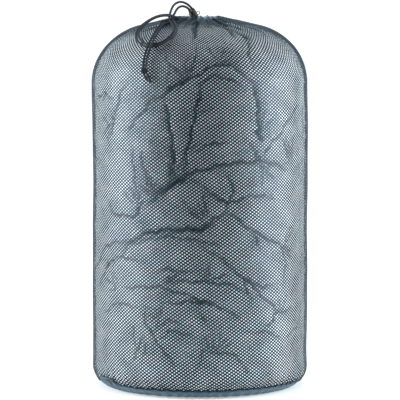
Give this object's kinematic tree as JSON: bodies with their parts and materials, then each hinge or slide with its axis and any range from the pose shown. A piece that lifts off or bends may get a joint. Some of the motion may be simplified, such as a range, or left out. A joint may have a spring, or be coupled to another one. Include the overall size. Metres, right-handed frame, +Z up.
{
  "type": "camp quilt in mesh storage sack",
  "caption": "Camp quilt stuffed loosely in a tall round net storage sack with a woven base, a gathered mouth and a doubled drawcord tied in a loose overhand knot.",
  "frame": {"origin": "centre of the sack's flat base, on the surface it stands on", "axes": "+Z up the sack's axis to the gathered mouth, -Y the front with the drawcord, +X to the right seen from the front"},
  "size_m": [0.2999, 0.3, 0.5389],
  "materials": {
    "sack_net": "matte",
    "sack_base_fabric": "matte",
    "binding_tape": "matte",
    "hem_fabric": "matte",
    "stitching": "matte",
    "drawcord": "matte",
    "quilt_shell_fabric": "satin",
    "quilt_lining_fabric": "satin",
    "down_filling": "matte",
    "baffle_netting": "matte",
    "quilt_binding": "matte",
    "label_fabric": "matte"
  },
  "bodies": {
    "sack_with_quilt": {"base_panel": "sack_base_fabric", "base_seam_binding": "binding_tape", "net_side_panel": "sack_net", "side_seam_tape": "binding_tape", "hem_channel": "hem_fabric", "cord_exit_buttonhole": "stitching", "drawcord_ring": "drawcord", "quilt_outer_shell": "quilt_shell_fabric", "quilt_lining": "quilt_lining_fabric", "down_chamber_01": "down_filling", "down_chamber_02": "down_filling", "down_chamber_03": "down_filling", "down_chamber_04": "down_filling", "down_chamber_05": "down_filling", "down_chamber_06": "down_filling", "down_chamber_07": "down_filling", "down_chamber_08": "down_filling", "down_chamber_09": "down_filling", "down_chamber_10": "down_filling", "down_chamber_11": "down_filling", "down_chamber_12": "down_filling", "down_chamber_13": "down_filling", "down_chamber_14": "down_filling", "down_chamber_15": "down_filling", "baffle_walls": "baffle_netting", "quilt_head_hem": "quilt_shell_fabric", "quilt_foot_hem": "quilt_shell_fabric", "quilt_edge_binding": "quilt_binding", "quilt_care_label": "label_fabric"},
    "drawcord": {"drawcord_long_strand": "drawcord", "drawcord_short_strand": "drawcord", "stopper_knot": "drawcord", "cord_end_left": "drawcord", "cord_end_right": "drawcord"}
  },
  "joints": [
    {"name": "drawcord_pull", "type": "slide", "parent": "sack_with_quilt", "child": "drawcord", "axis": [0, 0, 1], "range_m": [0, 0.025]}
  ]
}
